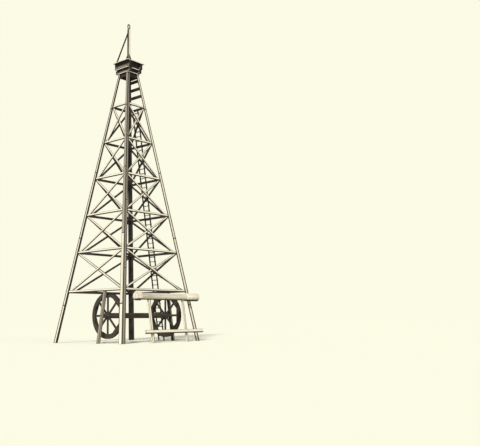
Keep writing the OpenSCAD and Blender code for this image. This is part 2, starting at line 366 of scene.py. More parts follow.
@dataclass(frozen=True)
class TimberFinish:
    """Weathered timber, cut from a trunk so that rings, fibres and end grain follow each plank."""

    name: str
    slot: Slot
    pale: Colour
    late: Colour
    # The darkest colour: soot in clouds and knots, and the colour of dark arrises, cracks and all
    # painted shade
    soot_and_shade: Colour
    ring_gap: float = 0.011
    ring_depth: float = 0.4
    ring_bend: float = 0.05
    streak_depth: float = 0.45
    fibre_depth: float = 0.45
    cloud_depth: float = 0.3
    knot_depth: float = 0.7
    knot_spread: tuple[float, float, float] = (1.3, 3.2, 1.0)
    check_depth: float = 0.8
    tone_spread: float = 0.35
    edge_dark: float = 0.9
    edge_width: float = 0.02
    edge_core: float = 0.3
    edge_wave: float = 0.012
    # How dark the painted shade strip along one edge is, and how its border wavers and blurs
    stain_dark: float = 0.98
    stain_wave: float = 0.12
    stain_blur: float = 0.05
    # How dark whole faces are painted: painted shade, and on the log its worn middle; and how much
    # that varies
    inside_dark: float = 0.88
    inside_wave: float = 0.2
    roughness: float = 0.82
    rough_wave: float = 0.2
    shine: float = 0.2
    bump: float = 0.4
    bump_height: float = 0.004
    fibre_rise: float = 0.6
    ring_rise: float = 0.25
    worn_drop: float = 0.3
    round_stock: bool = False

    def material(self) -> bpy.types.Material:
        """Builds the finish.

        Returns:
            A material that reads the grain, half and tone attributes, the stain attribute for a
            painted shade strip, and the inside attribute for painted shade and wear on whole faces.
        """
        material = bpy.data.materials.new(self.name)
        sheet = NodeSheet(material)
        grain = Grain.read(sheet)
        fibre, streak, cloud = map(grain.streaks, (Streaks.FIBRE, Streaks.STREAK, Streaks.CLOUD))
        rings, knots, checks = self._rings(grain), self._knots(grain), self._checks(grain)
        edge = self._edge(grain, fibre)
        # Dark arrises, the painted shade strip, whole faces painted dark (painted shade, and wear
        # on the log) and cracks; the strongest wins
        dark = (
            edge * self.edge_dark,
            self._stain(grain, cloud) * self.stain_dark,
            sheet.value("inside") * (self.inside_dark + cloud * self.inside_wave),
            checks * self.check_depth,
        )
        late = rings * self.ring_depth + streak.within(Band.STREAK) * self.streak_depth
        colour = sheet.mix(late, self.pale, self.late)
        for share, tint in (
            (fibre.within(Band.FIBRE) * self.fibre_depth, self.late),
            (cloud.within(Band.CLOUD) * self.cloud_depth, self.soot_and_shade),
            (knots * self.knot_depth, self.soot_and_shade),
            (grain.tone * self.tone_spread, self.late),
            (reduce(Socket.most, dark), self.soot_and_shade),
        ):
            colour = sheet.mix(share, colour, tint)
        height = fibre * self.fibre_rise + rings * self.ring_rise
        height = height - knots * self.worn_drop - edge * self.worn_drop - checks
        bump = sheet.bump(height, self.bump, self.bump_height)
        sheet.surface(colour, self.roughness + (fibre - 0.5) * self.rough_wave, self.shine, bump)
        return material

    def _rings(self, grain: Grain) -> Socket:
        """Growth rings round a pith that lies in a log's middle or beside a plank.

        Args:
            grain: the place in the timber.

        Returns:
            A wave from 0 to 1.
        """
        sway, beside, further = (0.02, 0.01, 0.0) if self.round_stock else (0.16, 0.06, 0.06)
        bend = grain.streaks(Streaks.RING_BEND) * self.ring_bend
        y = grain.across + (grain.tone - 0.5) * sway + bend
        z = grain.through + (grain.tone * further + beside)
        radius = (y * y + z * z) ** 0.5
        return (radius * (2 * math.pi / self.ring_gap)).sine() * 0.5 + 0.5

    def _knots(self, grain: Grain) -> Socket:
        """Sparse round knots.

        Args:
            grain: the place in the timber.

        Returns:
            A value that is 1 in a knot's middle and 0 off the knots.
        """
        settings = {"feature": "F1", "distance": "EUCLIDEAN"}
        inputs = {"Vector": grain.at(*self.knot_spread), "Scale": 1.0}
        return grain.sheet.make("ShaderNodeTexVoronoi", settings, inputs)[0].within(Band.KNOT)

    @staticmethod
    def _checks(grain: Grain) -> Socket:
        """Thin drying cracks along the grain, in patches."""
        line = abs(grain.streaks(Streaks.CRACK) - 0.5).within(Band.CRACK)
        return line * grain.streaks(Streaks.CRACKED_PATCH).within(Band.CRACKED_PATCH)

    def _edge(self, grain: Grain, fibre: Socket) -> Socket:
        """Dark arrises and dark sawn ends, from each timber's own half sizes.

        Args:
            grain: the place in the timber.
            fibre: the noise that makes the dark's border uneven.

        Returns:
            A value that is 1 at an arris.
        """
        length, width, depth = grain.half
        a = length - abs(grain.along)
        if self.round_stock:
            round_off = grain.across * grain.across + grain.through * grain.through
            nearest = a.most(width - round_off**0.5)
        else:
            c = width - abs(grain.across)
            t = depth - abs(grain.through)
            nearest = c.most(t).least(a.most(c.least(t)))
        uneven = nearest + (fibre - 0.5) * self.edge_wave
        return uneven.step(self.edge_width, self.edge_width * self.edge_core)

    def _stain(self, grain: Grain, cloud: Socket) -> Socket:
        """Painted shade: a dark strip along one edge of a timber, away from its lit side.

        Args:
            grain: the place in the timber.
            cloud: the noise that makes the strip's border uneven.

        Returns:
            A value that is 1 in the strip, whose share of the width is an attribute.
        """
        level = grain.across / grain.half[1] * 0.5 + 0.5
        uneven = level + (cloud - 0.5) * self.stain_wave - grain.sheet.value("stain")
        return uneven.step(self.stain_blur, -self.stain_blur)


@dataclass(frozen=True)
class IronFinish:
    """Dull wrought iron with rust in its hollows."""

    name: str = "wrought_iron"
    slot: Slot = Slot.IRON
    dark: Colour = (0.016, 0.015, 0.014)
    rust: Colour = (0.05, 0.03, 0.02)
    rust_depth: float = 0.7
    rust_band: tuple[float, float] = (0.45, 0.7)
    patch_scale: float = 9.0
    pit_scale: float = 90.0
    smooth: float = 0.5
    rough_wave: float = 0.35
    shine: float = 0.3
    bump: float = 0.3
    bump_height: float = 0.003

    def material(self) -> bpy.types.Material:
        """Builds the finish.

        Returns:
            A material that reads object coordinates.
        """
        material = bpy.data.materials.new(self.name)
        sheet = NodeSheet(material)
        place = sheet.outputs("ShaderNodeTexCoord")["Object"]
        patch = sheet.noise(place, self.patch_scale, 4.0)
        pits = sheet.noise(place, self.pit_scale, 2.0)
        colour = sheet.mix(patch.step(*self.rust_band) * self.rust_depth, self.dark, self.rust)
        bump = sheet.bump(pits, self.bump, self.bump_height)
        sheet.surface(colour, self.smooth + patch * self.rough_wave, self.shine, bump)
        return material


@dataclass(frozen=True)
class FloorFinish:
    """Pale, dull floor that keeps the shadow."""

    name: str = "pale_floor"
    colour: Colour = (0.86, 0.865, 0.725)

    def material(self) -> bpy.types.Material:
        """Builds the finish.

        Returns:
            A material without a pattern.
        """
        material = bpy.data.materials.new(self.name)
        NodeSheet(material).surface(self.colour, 1.0, 0.0)
        return material


PINE = TimberFinish(
    "weathered_pine",
    Slot.PINE,
    pale=(0.80, 0.75, 0.62),
    late=(0.52, 0.45, 0.34),
    soot_and_shade=(0.020, 0.017, 0.014),
    ring_depth=0.3,
    streak_depth=0.35,
    tone_spread=0.22,
    edge_dark=0.96,
    edge_width=0.024,
)
LEG_PINE = replace(PINE, name="leg_pine", edge_width=0.05)
DECK_PINE = replace(PINE, name="deck_pine", edge_width=0.012)
# Pine darkened as painted shade, for the bull wheel posts that stand in shade
POST_WOOD = replace(PINE, name="post_wood", pale=(0.30, 0.26, 0.20), late=(0.16, 0.13, 0.10))
# Near black pine as painted shade, for timbers that stand in shade: ladder rails, step boards,
# crown headers, the gin pole's brace and cleats
SHADOW_PINE = TimberFinish(
    "dark_pine",
    Slot.SHADOW_PINE,
    pale=(0.036, 0.030, 0.024),
    late=(0.020, 0.017, 0.014),
    soot_and_shade=(0.009, 0.008, 0.007),
)
# Dark pine for the crown's courses, as painted shade
CROWN_PINE = TimberFinish(
    "crown_pine",
    Slot.SHADOW_PINE,
    pale=(0.22, 0.19, 0.15),
    late=(0.12, 0.10, 0.08),
    soot_and_shade=(0.014, 0.012, 0.010),
    edge_width=0.05,
)
# Near black wood as painted shade, for the bull wheels and their shaft, which stand in shade
WHEEL_WOOD = TimberFinish(
    "wheel_wood",
    Slot.WHEEL,
    pale=(0.060, 0.048, 0.036),
    late=(0.032, 0.025, 0.019),
    soot_and_shade=(0.010, 0.009, 0.008),
)
SHAFT_WOOD = replace(WHEEL_WOOD, name="shaft_wood", round_stock=True)
LOG_WOOD = TimberFinish(
    "peeled_log",
    Slot.LOG,
    pale=(0.85, 0.80, 0.67),
    late=(0.36, 0.30, 0.22),
    soot_and_shade=(0.03, 0.025, 0.02),
    ring_gap=0.024,
    ring_depth=0.3,
    streak_depth=0.75,
    round_stock=True,
)
IRON = IronFinish()
FLOOR = FloorFinish()
Finish = TimberFinish | IronFinish | FloorFinish


class Finishes:
    """Keeps one material for each finish."""

    made: dict[str, bpy.types.Material] = {}

    @classmethod
    def of(cls, finish: Finish) -> bpy.types.Material:
        """Gives a finish's material, made at its first use.

        Args:
            finish: the finish.

        Returns:
            Its material.
        """
        if finish.name not in cls.made:
            cls.made[finish.name] = finish.material()
        return cls.made[finish.name]


@dataclass(frozen=True)
class Plank:
    """One timber's own axes: its middle, its directions, half its sizes and its taper."""

    middle: Vector
    along: Vector
    across: Vector
    through: Vector
    half: Vector
    drift: float = 0.0
    spread: float = 0.0

    @classmethod
    def measure(
        cls, mesh: bmesh.types.BMesh, along: Vector | None = None, lit_side: Vector = UP
    ) -> "Plank":
        """Finds a plank's axes from its longest edge and its broadest face.

        Args:
            mesh: the plank alone.
            along: the direction of its grain, where the longest edge doesn't give it.
            lit_side: the side away from the painted shade strip, to which its axis across points.

        Returns:
            The plank's axes and half sizes.
        """
        if along is None:
            edge = max(mesh.edges, key=lambda e: e.calc_length())
            along = (edge.verts[1].co - edge.verts[0].co).normalized()
            broad = max(
                mesh.faces, key=lambda f: f.calc_area() * (1 - abs(f.normal.dot(along)))
            ).normal
            through = (broad - along * broad.dot(along)).normalized()
        else:
            through = along.cross(lit_side).normalized()
        across = through.cross(along)
        if across.dot(lit_side) < 0:
            across.negate()
        axes = (along, across, through)
        reaches = [[v.co.dot(axis) for v in mesh.verts] for axis in axes]
        spans = [(min(reach), max(reach)) for reach in reaches]
        middle = sum((axis * (lo + hi) / 2 for axis, (lo, hi) in zip(axes, spans)), Vector())
        return cls(middle, *axes, Vector([(hi - lo) / 2 for lo, hi in spans]))

    def tapered(self, mesh: bmesh.types.BMesh, end_share: float = 0.8) -> "Plank":
        """Measures how a plank narrows between its square ends.

        Args:
            mesh: the plank alone.
            end_share: the share of half its length past which its vertices are at an end.

        Returns:
            The plank with its middle on the centre line, and its taper.
        """
        ends = []
        for way in (-1, 1):
            places = [self.grain(v.co) for v in mesh.verts]
            across = [c for a, c, _ in places if way * a > end_share * self.half.x]
            ends.append((min(across), max(across)))
        (low0, high0), (low1, high1) = ends
        run = 2 * self.half.x
        return replace(
            self,
            middle=self.middle + self.across * (low0 + high0 + low1 + high1) / 4,
            half=Vector((self.half.x, (high0 - low0 + high1 - low1) / 4, self.half.z)),
            drift=(high1 + low1 - high0 - low0) / 2 / run,
            spread=(high1 - low1 - high0 + low0) / 2 / run,
        )

    def grain(self, point: Vector) -> tuple[float, float, float]:
        """Finds a point's place in the plank.

        Args:
            point: the point in the frame.

        Returns:
            Its place along, across and through the plank.
        """
        off = point - self.middle
        a = off.dot(self.along)
        return a, off.dot(self.across) - self.drift * a, off.dot(self.through)

    def half_at(self, a: float) -> Vector:
        """Half the plank's sizes at a place along it."""
        return self.half + Vector((0.0, self.spread * a, 0.0))

    def trim(self, mesh: bmesh.types.BMesh, far: float, near: float) -> None:
        """Shortens the plank's mesh at its two ends.

        Args:
            mesh: the plank's mesh, before its edges are eased.
            far: the length taken off at the end to which the axis along points.
            near: the length taken off at the other end.
        """
        for vert in mesh.verts:
            a = self.grain(vert.co)[0]
            if abs(a) > self.half.x - 1e-3:
                vert.co -= self.along * (far if a > 0 else -near)


@dataclass
class TimberMesh:
    """Collects planks into one mesh with grain, half sizes, tones, painted shade strips and dark
    faces.
    """

    seed: str
    # Tells how dark each face is painted: painted shade, and on the log its worn middle
    darkness: Darkness | None = None
    mesh: bmesh.types.BMesh = field(default_factory=bmesh.new)
    rows: list[tuple[Plank, float, float, int]] = field(default_factory=list)

    def __post_init__(self) -> None:
        """Starts the draw of tones, which depends only on the seed."""
        self.draw = random.Random(self.seed)

    def add(self, part: bmesh.types.BMesh, plank: Plank, stain: float = NO_SHADE_STRIP) -> None:
        """Adds one finished plank.

        Args:
            part: the plank's mesh, which is freed.
            plank: its axes.
            stain: the share of its width that is painted in shade.
        """
        self.rows.append((plank, self.draw.random(), stain, pour(part, self.mesh)))

    def piece(self, name: str, finish: TimberFinish, body: Body) -> bpy.types.Object:
        """Makes the object, with attributes, material and body.

        Args:
            name: the piece's name.
            finish: its finish.
            body: the body on which it rides.

        Returns:
            The piece.
        """
        piece = make_piece(name, self.mesh, finish, body)
        data = piece.data
        kinds = {"grain": "FLOAT_VECTOR", "half": "FLOAT_VECTOR", "tone": "FLOAT", "stain": "FLOAT"}
        for attribute, kind in kinds.items():
            data.attributes.new(attribute, kind, "POINT")
        data.attributes.new("inside", "FLOAT", "FACE")
        grain, half, tone, shade_shares = (data.attributes[attribute] for attribute in kinds)
        start = 0
        for plank, shade, stain, count in self.rows:
            for i in range(start, start + count):
                place = plank.grain(data.vertices[i].co)
                grain.data[i].vector = place
                half.data[i].vector = plank.half_at(place[0])
                tone.data[i].value = shade
                shade_shares.data[i].value = stain
            start += count
        # Whole faces are painted dark here: painted shade, and on the log its worn middle
        if self.darkness is not None:
            inside = data.attributes["inside"]
            for face in data.polygons:
                inside.data[face.index].value = self.darkness(face.center, face.normal)
        return piece


def pour(part: bmesh.types.BMesh, whole: bmesh.types.BMesh) -> int:
    """Moves one mesh into another.

    Args:
        part: the mesh that is moved and freed.
        whole: the mesh that takes it.

    Returns:
        The number of its vertices.
    """
    store = bpy.data.meshes.new("part")
    part.to_mesh(store)
    part.free()
    whole.from_mesh(store)
    count = len(store.vertices)
    bpy.data.meshes.remove(store)
    return count


def put(name: str, data: bpy.types.ID) -> bpy.types.Object:
    """Puts an object into the scene.

    Args:
        name: the object's name.
        data: its mesh, lamp or camera.

    Returns:
        The object, at the origin.
    """
    item = bpy.data.objects.new(name, data)
    bpy.context.scene.collection.objects.link(item)
    return item


def put_mesh(name: str, mesh: bmesh.types.BMesh, finish: Finish) -> bpy.types.Object:
    """Puts a bmesh with its material into the scene.

    Args:
        name: the object's name.
        mesh: its mesh, which is freed.
        finish: its finish.

    Returns:
        The object.
    """
    data = bpy.data.meshes.new(name)
    mesh.to_mesh(data)
    mesh.free()
    data.materials.append(Finishes.of(finish))
    return put(name, data)


def make_piece(
    name: str, mesh: bmesh.types.BMesh, finish: TimberFinish | IronFinish, body: Body
) -> bpy.types.Object:
    """Turns a bmesh into a piece that rides on a body.

    Args:
        name: the piece's name.
        mesh: its mesh, which is freed.
        finish: its finish.
        body: the body on which it rides.

    Returns:
        The piece.
    """
    piece = put_mesh(name, mesh, finish)
    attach(piece, body.value)
    return piece


def report(piece: bpy.types.Object) -> None:
    """Logs a piece and its number of faces."""
    log.info("%s: %d faces", piece.name, len(piece.data.polygons))


def stand_for(piece: bpy.types.Object, node: str) -> None:
    """Lets a piece stand for a CAD node, and reports it."""
    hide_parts(node)
    report(piece)


def node_parts(node: str, merge: float = 2e-5, flat: float = 0.4) -> list[bmesh.types.BMesh]:
    """Copies a CAD node's solids, each merged and with its flat faces whole.

    Args:
        node: the node's name.
        merge: the distance in metres under which vertices are one.
        flat: the angle in degrees under which neighbouring faces are one.

    Returns:
        One bmesh for each solid.
    """
    whole = bmesh.new()
    whole.from_mesh(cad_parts[node].data)
    bmesh.ops.remove_doubles(whole, verts=whole.verts, dist=merge)
    bmesh.ops.dissolve_limit(
        whole, angle_limit=math.radians(flat), verts=whole.verts, edges=whole.edges
    )
    whole.verts.index_update()
    parts = []
    left = set(whole.verts)
    while left:
        island = grow(left.pop())
        left -= island
        parts.append(copy_island(whole, island))
    whole.free()
    parts.sort(key=lambda part: tuple(round(x, 4) for x in middle_of(part)))
    return parts


def middle_of(part: bmesh.types.BMesh) -> Vector:
    """The mean of a mesh's vertices."""
    return sum((v.co for v in part.verts), Vector()) / len(part.verts)


def grow(start: bmesh.types.BMVert) -> set[bmesh.types.BMVert]:
    """Finds one island of a mesh.

    Args:
        start: one of its vertices.

    Returns:
        All vertices that edges join to the first one.
    """
    island, queue = {start}, [start]
    while queue:
        for edge in queue.pop().link_edges:
            for vert in edge.verts:
                if vert not in island:
                    island.add(vert)
                    queue.append(vert)
    return island


def copy_island(whole: bmesh.types.BMesh, island: set[bmesh.types.BMVert]) -> bmesh.types.BMesh:
    """Copies one island of a mesh.

    Args:
        whole: the mesh.
        island: the island's vertices.

    Returns:
        A bmesh of the island alone.
    """
    part = whole.copy()
    part.verts.index_update()
    keep = {v.index for v in island}
    drop = [v for v in part.verts if v.index not in keep]
    bmesh.ops.delete(part, geom=drop, context="VERTS")
    return part


def ease_edges(
    part: bmesh.types.BMesh, width: float, segments: int = 2, sharp: float = 25.0
) -> None:
    """Rounds a part's sharp edges.

    Args:
        part: the mesh to change.
        width: the width of the rounding in metres.
        segments: how many faces each rounding has.
        sharp: the least angle in degrees of an edge that is rounded.
    """
    limit = math.radians(sharp)
    edges = [e for e in part.edges if len(e.link_faces) == 2 and e.calc_face_angle() > limit]
    bmesh.ops.bevel(
        part,
        geom=edges,
        offset=width,
        offset_type="OFFSET",
        segments=segments,
        profile=0.5,
        affect="EDGES",
        clamp_overlap=True,
        material=-1,
    )


def cut_lengths(
    part: bmesh.types.BMesh, plank: Plank, stations: Iterable[float], kerf: float
) -> list[bmesh.types.BMesh]:
    """Saws a long plank into butted lengths.

    Args:
        part: the plank, which is freed.
        plank: its axes.
        stations: distances along it from its middle, in rising order.
        kerf: the width of each joint.

    Returns:
        The lengths.
    """
    beyond = plank.half.x + 1.0
    ends = [-beyond, *stations, beyond]
    lengths = []
    for low, high in zip(ends, ends[1:]):
        length = part.copy()
        for place, way in ((low + kerf / 2, -1.0), (high - kerf / 2, 1.0)):
            saw(length, plank.middle + plank.along * place, plank.along * way)
        lengths.append(length)
    part.free()
    return lengths


def saw(part: bmesh.types.BMesh, point: Vector, outwards: Vector) -> None:
    """Cuts a closed mesh with a plane, drops what lies beyond it and closes the cut.

    Args:
        part: the mesh to change.
        point: a point of the plane.
        outwards: the plane's normal, towards what is dropped.
    """
    cut = bmesh.ops.bisect_plane(
        part,
        geom=[*part.verts, *part.edges, *part.faces],
        dist=1e-6,
        plane_co=point,
        plane_no=outwards,
        clear_outer=True,
        clear_inner=False,
    )
    edges = [e for e in cut["geom_cut"] if isinstance(e, bmesh.types.BMEdge) and e.is_boundary]
    if edges:
        bmesh.ops.holes_fill(part, edges=edges, sides=0)


@dataclass
class Rig:
    """The tower's driving sizes in metres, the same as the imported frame's, and its sides."""

    base_w: float = 6.30
    top_w: float = 0.90
    leg_h: float = 17.0
    leg_w: float = 0.27
    leg_top_w: float = 0.165
    plank_t: float = 0.05
    seat: float = 0.0004
    girt_h: float = 0.15
    girt_z: tuple[float, ...] = (3.11, 5.53, 7.86, 10.19, 12.52, 14.85)
    step_z: tuple[float, ...] = (15.64, 16.13, 16.62)
    header_z: float = 16.88
    brace_in: float = 0.22
    front_brace_in: float = 0.44
    front_brace_step: float = 0.10
    turned_in: float = 0.3

    def __post_init__(self) -> None:
        """Works out the slope and the tower's middle from the near leg's foot."""
        self.lean = math.atan((self.base_w - self.top_w) / 2 / self.leg_h)
        half = self.base_w / 2
        self.centre = Vector((half - self.leg_w / 2, half - self.plank_t / 2, 0.0))

    def up(self, z: float) -> float:
        """A height measured up the slope."""
        return z / math.cos(self.lean)

    def half(self, v: float) -> float:
        """Half the width of a side at a distance up its slope."""
        return self.base_w / 2 - v * math.sin(self.lean)

    def leg_width(self, v: float) -> float:
        """The width of a leg's side at a distance up its slope."""
        return self.leg_w + (self.leg_top_w - self.leg_w) * v / self.up(self.leg_h)

    def leg_edge(self, v: float) -> float:
        """The distance of a leg's inner edge from the middle of its side."""
        return self.half(v) - self.leg_width(v)

    def on_side(self, side: Side, mirrored: bool = False) -> Matrix:
        """Finds a side's own axes: X level, Y up the slope and Z outwards.

        Args:
            side: which side.
            mirrored: whether X runs the other way.

        Returns:
            The matrix from the side's plane to the frame.
        """
        return (
            Matrix.Translation(self.centre)
            @ Matrix.Rotation(math.pi / 2 * side.value, 4, "Z")
            @ Matrix.Translation((0.0, -self.base_w / 2, 0.0))
            @ Matrix.Rotation(math.pi / 2 - self.lean, 4, "X")
            @ Matrix.Diagonal((-1.0 if mirrored else 1.0, 1.0, 1.0, 1.0))
        )

    def looks_in(self, place: Vector, normal: Vector) -> float:
        """1 for a face that looks towards the tower's axis, to be painted in shade, else 0."""
        away = (place - self.centre).xy
        return float(away.length > 0 and normal.xy.dot(away.normalized()) < -self.turned_in)


@dataclass
class Heads:
    """Nail, bolt or washer heads, collected for one body and driven square to what they hold."""

    name: str
    body: Body = Body.DERRICK
    sides: int = 8
    narrow: float = 0.72
    sink: float = 0.0015
    places: list[tuple[Matrix, Head]] = field(default_factory=list)

    def drive(self, at: Matrix, head: Head = Head.NAIL) -> None:
        """Adds a head at a place whose Z axis points out of the timber."""
        self.places.append((at, head))

    def into(
        self, plank: Plank, a: float, c: float, outwards: Vector, head: Head = Head.NAIL
    ) -> None:
        """Adds a head on a plank's broad face.

        Args:
            plank: the plank.
            a: the head's place along it.
            c: the head's place across it.
            outwards: the way to which the face looks.
            head: the head's kind.
        """
        normal = plank.through if plank.through.dot(outwards) > 0 else -plank.through
        on_middle = plank.middle + plank.along * a + plank.across * c
        place = on_middle + normal * (plank.half.z - self.sink)
        turn = normal.to_track_quat("Z", "Y").to_matrix().to_4x4()
        self.drive(Matrix.Translation(place) @ turn, head)

    def at_ends(
        self, plank: Plank, inset: float, off: float, outwards: Vector, head: Head = Head.NAIL
    ) -> None:
        """Adds two heads near each end of a plank.

        Args:
            plank: the plank.
            inset: their distance from its end.
            off: their distance from its centre line, on either side.
            outwards: the way to which the face looks.
            head: the heads' kind.
        """
        for end in (-1, 1):
            for c in (-off, off):
                self.into(plank, end * (plank.half.x - inset), c, outwards, head)

    def build(self) -> None:
        """Makes all the heads as one piece."""
        mesh = bmesh.new()
        for at, head in self.places:
            radius, height = head.value
            bmesh.ops.create_cone(
                mesh,
                cap_ends=True,
                segments=self.sides,
                radius1=radius,
                radius2=radius * self.narrow,
                depth=height,
                matrix=at @ Matrix.Translation((0.0, 0.0, height / 2)),
            )
        report(make_piece(self.name, mesh, IRON, self.body))


@dataclass
class Fastenings:
    """All the nails and bolts of the derrick and of its bull wheel."""

    nails: Heads = field(default_factory=lambda: Heads("nail_heads"))
    wheel_nails: Heads = field(default_factory=lambda: Heads("wheel_nail_heads", Body.BULL_WHEEL))
    washers: Heads = field(
        default_factory=lambda: Heads("washers", sides=20, narrow=1.0, sink=0.001)
    )
    bolts: Heads = field(
        default_factory=lambda: Heads("bolt_heads", sides=4, narrow=0.94, sink=-0.003)
    )
    wheel_bolts: Heads = field(
        default_factory=lambda: Heads("wheel_bolt_heads", Body.BULL_WHEEL, sides=4, narrow=0.94)
    )

    def bolt(self, plank: Plank, a: float, c: float, outwards: Vector) -> None:
        """Puts a square bolt head on a washer."""
        self.washers.into(plank, a, c, outwards, Head.WASHER)
        self.bolts.into(plank, a, c, outwards, Head.BOLT)

    def build(self) -> None:
        """Makes the pieces."""
        for heads in (self.nails, self.wheel_nails, self.washers, self.bolts, self.wheel_bolts):
            heads.build()


@dataclass
class Dresser:
    """Rebuilds a node's timbers with eased edges, own grain and own tone."""

    rig: Rig
    ease: float = 0.005
    least_facet: float = 0.004

    def dress(
        self,
        node: str,
        finish: TimberFinish,
        body: Body = Body.DERRICK,
        along: Vector | None = None,
        ease: float | None = None,
        stain: float = NO_SHADE_STRIP,
        trim: float = 0.0,
        dark: Darkness | None = None,
        lit_side: Vector = UP,
    ) -> list[Plank]:
        """Replaces one node by its dressed timbers.

        Args:
            node: the node's name.
            finish: the finish of its timbers.
            body: the body on which it rides.
            along: the grain's direction, where it isn't each plank's longest edge.
            ease: the width of the rounded edges, where it isn't the usual one.
            stain: the share of each timber's width that is painted in shade.
            trim: the most that a timber's end is sawn short.
            dark: tells how dark a face is painted, from its middle and normal.
            lit_side: the side away from the painted shade strip.

        Returns:
            The timbers' axes.
        """
        timbers = TimberMesh(node, dark)
        draw = random.Random(node + "_ends")
        planks = []
        for part in node_parts(node):
            plank = Plank.measure(part, along, lit_side)
            plank.trim(part, draw.uniform(0.0, trim), draw.uniform(0.0, trim))
            bmesh.ops.remove_doubles(part, verts=part.verts, dist=self.least_facet)
            ease_edges(part, self.ease if ease is None else ease)
            timbers.add(part, plank, stain)
            planks.append(plank)
        stand_for(timbers.piece("dressed_" + node, finish, body), node)
        return planks

    @staticmethod
    def forge(node: str, body: Body = Body.DERRICK, ease: float = 0.008) -> None:
        """Replaces one node by its iron with eased edges.

        Args:
            node: the node's name.
            body: the body on which it rides.
            ease: the width of the rounded edges.
        """
        mesh = bmesh.new()
        for part in node_parts(node):
            ease_edges(part, ease, 3)
            pour(part, mesh)
        stand_for(make_piece("forged_" + node, mesh, IRON, body), node)


@dataclass
class Legs:
    """The four corner legs, each of two rows of planks butted end to end and nailed in an L."""

    rig: Rig
    dresser: Dresser
    length: float = 4.25
    first: float = 2.35
    stagger: float = 2.1
    shortest: float = 1.2
    kerf: float = 0.006
    # Share of each leg plank's width painted in shade along one edge
    stain: float = 0.36
    # How dark the near leg is painted: its front in painted shade, its left darker the higher it is
    front_grey: float = 0.72
    left_grey: float = 0.62
    grey_from: float = 3.5
    grey_rise: float = 7.0
    board_nails: tuple[float, ...] = (0.3, 0.55, 0.8)
    nail_rise: float = 0.045
    nail_pitch: float = 0.45

    def build(self, fastenings: Fastenings) -> None:
        """Builds the legs.

        Args:
            fastenings: where the legs' nails go.
        """
        for corner in ("front_left", "front_right", "back_right", "back_left"):
            self._leg(corner)
        for side in Side:
            steps = self.rig.step_z if side is Side.RIGHT else ()
            heights = (*self.rig.girt_z, *steps, self.rig.header_z)
            self._nail_boards(side, heights, fastenings.nails)
            self._nail_seam(side, fastenings.nails)

    def _leg(self, corner: str) -> None:
        """Saws one leg's two planks into lengths and dresses them.

        Args:
            corner: the leg's corner, as its node spells it.
        """
        node = "leg_" + corner
        near = corner == "front_left"
        # Faces that look inwards, and the near leg's front, are painted in shade
        timbers = TimberMesh(node, self._grey if near else self.rig.looks_in)
        for row, part in enumerate(node_parts(node)):
            plank = Plank.measure(part)
            way = math.copysign(1.0, plank.through.dot(plank.middle - self.rig.centre))
            # The painted shade strip runs along the edge away from this side; the near leg's left
            # plank has none
            lit_side = (plank.through * way).cross(UP)
            no_shade_strip = near and abs(plank.through.x) > LOOSELY
            upwards = math.copysign(1.0, plank.along.z)
            first = -plank.half.x + self.first + row * self.stagger
            count = int((plank.half.x - self.shortest - first) / self.length) + 1
            stations = sorted(upwards * (first + i * self.length) for i in range(count))
            for length in cut_lengths(part, plank, stations, self.kerf):
                own = Plank.measure(length, plank.along, lit_side).tapered(length)
                ease_edges(length, self.dresser.ease)
                timbers.add(length, own, NO_SHADE_STRIP if no_shade_strip else self.stain)
        stand_for(timbers.piece("dressed_" + node, LEG_PINE, Body.DERRICK), node)

    def _grey(self, place: Vector, normal: Vector) -> float:
        """Tells how dark a face of the near leg is painted.

        Args:
            place: the face's middle.
            normal: its normal.

        Returns:
            One grey of painted shade on the front, and more grey the higher it is on the left.
        """
        if normal.y < -LOOSELY:
            return self.front_grey
        if normal.x < -LOOSELY:
            return min(max((place.z - self.grey_from) / self.grey_rise, 0.0), self.left_grey)
        return self.rig.looks_in(place, normal)

    def _nail_boards(self, side: Side, heights: Iterable[float], nails: Heads) -> None:
        """Nails the level boards of one side through its leg planks.

        Args:
            side: the side.
            heights: the heights of the boards' middles.
            nails: where the nails go.
        """
        rig = self.rig
        on_side = rig.on_side(side)
        for v in map(rig.up, heights):
            for edge in (-1, 1):
                for share in self.board_nails:
                    for dv in (-self.nail_rise, self.nail_rise):
                        u = edge * (rig.half(v + dv) - share * rig.leg_width(v))
                        nails.drive(on_side @ Matrix.Translation((u, v + dv, -nails.sink)))

    def _nail_seam(self, side: Side, nails: Heads) -> None:
        """Nails the outer plank of one corner to the edge of the next side's plank.

        Args:
            side: the side on which the heads are seen.
            nails: where the nails go.
        """
        rig = self.rig
        on_side = rig.on_side(side)
        for i in range(int(rig.up(rig.leg_h) / self.nail_pitch)):
            v = (i + 0.5) * self.nail_pitch
            u = rig.half(v) - rig.plank_t / 2
            nails.drive(on_side @ Matrix.Translation((u, v, -nails.sink)))


@dataclass
class Girts:
    """Level planks round the tower."""

    dresser: Dresser
    # Share of each girt's width painted in shade along its lower edge; faces that look inwards are
    # painted in shade too
    stain: float = 0.38

    def build(self) -> None:
        """Builds the girts of all sides."""
        looks_in = self.dresser.rig.looks_in
        for side in Side:
            self.dresser.dress("girts_" + side.word, PINE, stain=self.stain, dark=looks_in)


